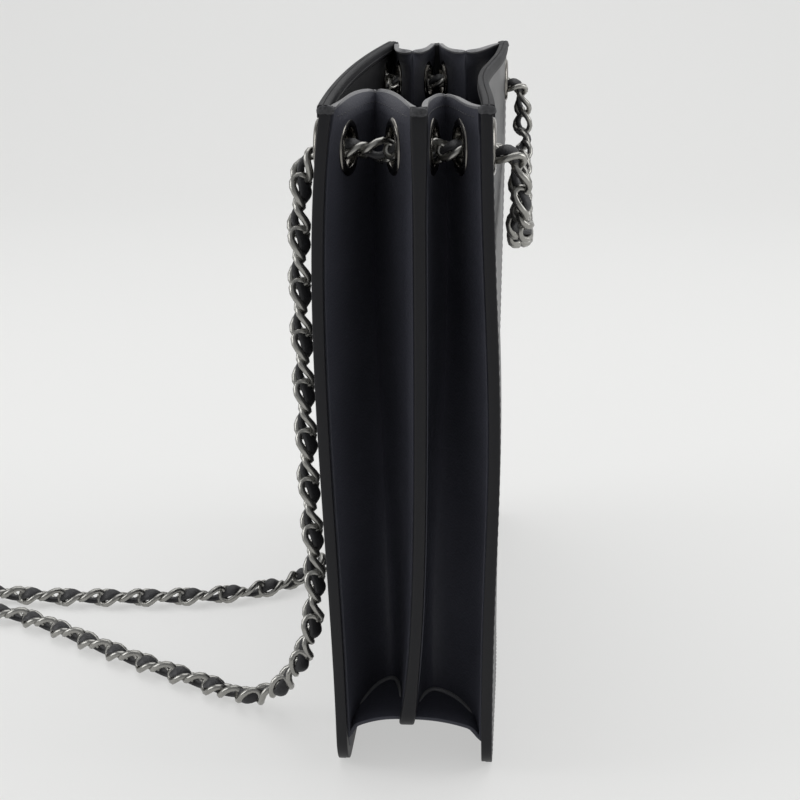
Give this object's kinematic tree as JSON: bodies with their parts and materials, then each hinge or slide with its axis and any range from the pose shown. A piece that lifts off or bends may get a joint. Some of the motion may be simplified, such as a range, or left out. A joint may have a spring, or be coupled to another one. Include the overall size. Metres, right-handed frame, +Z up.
{
  "type": "chain shoulder bag",
  "caption": "Open-top leather tote with accordion pleated ends, panels that move in and out, and a ribbon-woven chain threaded through eyelets, with a front swag that swings.",
  "frame": {"origin": "on the floor under the middle of the bag, chain left out", "axes": "+X along the bag from its left end to its right, +Y from the front panel to the back panel, +Z up"},
  "size_m": [0.305, 0.3718, 0.27],
  "materials": {
    "body_leather": "satin",
    "edge_leather": "satin",
    "lining": "matte",
    "stiffener_board": "matte",
    "eyelet_metal": "polished",
    "washer_metal": "satin",
    "chain_links": "satin",
    "chain_ribbon": "satin"
  },
  "bodies": {
    "core": {"left_ridge": "edge_leather", "right_ridge": "edge_leather", "base_ridge": "edge_leather", "left_threaded_chain": "chain_links", "right_threaded_chain": "chain_links", "left_threaded_ribbon": "chain_ribbon", "right_threaded_ribbon": "chain_ribbon"},
    "front_panel": {"front_panel": "body_leather", "front_stiffener": "stiffener_board", "front_lining": "lining", "front_top_binding": "edge_leather", "front_seam_margin": "edge_leather", "front_panel_eyelets": "eyelet_metal", "front_panel_washers": "washer_metal"},
    "left_front_outer": {"left_front_outer_leaf": "body_leather", "left_front_outer_eyelet": "eyelet_metal", "left_front_outer_washer": "washer_metal"},
    "left_front_inner": {"left_front_inner_leaf": "body_leather", "left_front_inner_eyelet": "eyelet_metal", "left_front_inner_washer": "washer_metal"},
    "right_front_outer": {"right_front_outer_leaf": "body_leather", "right_front_outer_eyelet": "eyelet_metal", "right_front_outer_washer": "washer_metal"},
    "right_front_inner": {"right_front_inner_leaf": "body_leather", "right_front_inner_eyelet": "eyelet_metal", "right_front_inner_washer": "washer_metal"},
    "front_base_outer": {"front_base_outer_leaf": "body_leather"},
    "front_base_inner": {"front_base_inner_leaf": "body_leather"},
    "back_panel": {"back_panel": "body_leather", "back_stiffener": "stiffener_board", "back_lining": "lining", "back_top_binding": "edge_leather", "back_seam_margin": "edge_leather", "back_panel_eyelets": "eyelet_metal", "back_panel_washers": "washer_metal", "shoulder_chain": "chain_links", "shoulder_ribbon": "chain_ribbon"},
    "left_back_outer": {"left_back_outer_leaf": "body_leather", "left_back_outer_eyelet": "eyelet_metal", "left_back_outer_washer": "washer_metal"},
    "left_back_inner": {"left_back_inner_leaf": "body_leather", "left_back_inner_eyelet": "eyelet_metal", "left_back_inner_washer": "washer_metal"},
    "right_back_outer": {"right_back_outer_leaf": "body_leather", "right_back_outer_eyelet": "eyelet_metal", "right_back_outer_washer": "washer_metal"},
    "right_back_inner": {"right_back_inner_leaf": "body_leather", "right_back_inner_eyelet": "eyelet_metal", "right_back_inner_washer": "washer_metal"},
    "back_base_outer": {"back_base_outer_leaf": "body_leather"},
    "back_base_inner": {"back_base_inner_leaf": "body_leather"},
    "front_chain": {"front_chain": "chain_links", "front_ribbon": "chain_ribbon"}
  },
  "joints": [
    {"name": "front_panel_slide", "type": "slide", "parent": "core", "child": "front_panel", "axis": [0, -1, 0], "range_m": [-0.01, 0.014], "stiffness_N_per_m": 120, "deforming": ["left_threaded_chain", "left_threaded_ribbon", "right_threaded_chain", "right_threaded_ribbon"]},
    {"name": "left_front_outer_fold", "type": "hinge", "parent": "front_panel", "child": "left_front_outer", "pos_m": [-0.1485, -0.02605, 0.15], "axis": [0, 0, 1], "range_deg": [-6.37, 8.79]},
    {"name": "left_front_inner_fold", "type": "hinge", "parent": "core", "child": "left_front_inner", "pos_m": [-0.1485, -0.0039, 0.15], "axis": [0, 0, -1], "range_deg": [-6.37, 8.79]},
    {"name": "right_front_outer_fold", "type": "hinge", "parent": "front_panel", "child": "right_front_outer", "pos_m": [0.1485, -0.02605, 0.15], "axis": [0, 0, -1], "range_deg": [-6.37, 8.79]},
    {"name": "right_front_inner_fold", "type": "hinge", "parent": "core", "child": "right_front_inner", "pos_m": [0.1485, -0.0039, 0.15], "axis": [0, 0, 1], "range_deg": [-6.37, 8.79]},
    {"name": "front_base_outer_fold", "type": "hinge", "parent": "front_panel", "child": "front_base_outer", "pos_m": [0, -0.02605, 0.004], "axis": [-1, 0, 0], "range_deg": [-14.27, 19.86]},
    {"name": "front_base_inner_fold", "type": "hinge", "parent": "core", "child": "front_base_inner", "pos_m": [0, -0.0039, 0.021], "axis": [1, 0, 0], "range_deg": [-14.27, 19.86]},
    {"name": "back_panel_slide", "type": "slide", "parent": "core", "child": "back_panel", "axis": [0, 1, 0], "range_m": [-0.01, 0.014], "stiffness_N_per_m": 120, "deforming": ["left_threaded_chain", "left_threaded_ribbon", "right_threaded_chain", "right_threaded_ribbon"]},
    {"name": "left_back_outer_fold", "type": "hinge", "parent": "back_panel", "child": "left_back_outer", "pos_m": [-0.1485, 0.02605, 0.15], "axis": [0, 0, -1], "range_deg": [-6.37, 8.79]},
    {"name": "left_back_inner_fold", "type": "hinge", "parent": "core", "child": "left_back_inner", "pos_m": [-0.1485, 0.0039, 0.15], "axis": [0, 0, 1], "range_deg": [-6.37, 8.79]},
    {"name": "right_back_outer_fold", "type": "hinge", "parent": "back_panel", "child": "right_back_outer", "pos_m": [0.1485, 0.02605, 0.15], "axis": [0, 0, 1], "range_deg": [-6.37, 8.79]},
    {"name": "right_back_inner_fold", "type": "hinge", "parent": "core", "child": "right_back_inner", "pos_m": [0.1485, 0.0039, 0.15], "axis": [0, 0, -1], "range_deg": [-6.37, 8.79]},
    {"name": "back_base_outer_fold", "type": "hinge", "parent": "back_panel", "child": "back_base_outer", "pos_m": [0, 0.02605, 0.004], "axis": [1, 0, 0], "range_deg": [-14.27, 19.86]},
    {"name": "back_base_inner_fold", "type": "hinge", "parent": "core", "child": "back_base_inner", "pos_m": [0, 0.0039, 0.021], "axis": [-1, 0, 0], "range_deg": [-14.27, 19.86]},
    {"name": "front_chain_swing", "type": "hinge", "parent": "front_panel", "child": "front_chain", "pos_m": [0, -0.0405, 0.2348], "axis": [-1, 0, 0], "range_deg": [0, 160]}
  ],
  "couplings": [
    {"joint": "left_front_outer_fold", "follows": "front_panel_slide", "rad_per_m": 10.587},
    {"joint": "left_front_inner_fold", "follows": "front_panel_slide", "rad_per_m": 10.587},
    {"joint": "right_front_outer_fold", "follows": "front_panel_slide", "rad_per_m": 10.587},
    {"joint": "right_front_inner_fold", "follows": "front_panel_slide", "rad_per_m": 10.587},
    {"joint": "front_base_outer_fold", "follows": "front_panel_slide", "rad_per_m": 24.39},
    {"joint": "front_base_inner_fold", "follows": "front_panel_slide", "rad_per_m": 24.39},
    {"joint": "left_back_outer_fold", "follows": "back_panel_slide", "rad_per_m": 10.587},
    {"joint": "left_back_inner_fold", "follows": "back_panel_slide", "rad_per_m": 10.587},
    {"joint": "right_back_outer_fold", "follows": "back_panel_slide", "rad_per_m": 10.587},
    {"joint": "right_back_inner_fold", "follows": "back_panel_slide", "rad_per_m": 10.587},
    {"joint": "back_base_outer_fold", "follows": "back_panel_slide", "rad_per_m": 24.39},
    {"joint": "back_base_inner_fold", "follows": "back_panel_slide", "rad_per_m": 24.39}
  ]
}
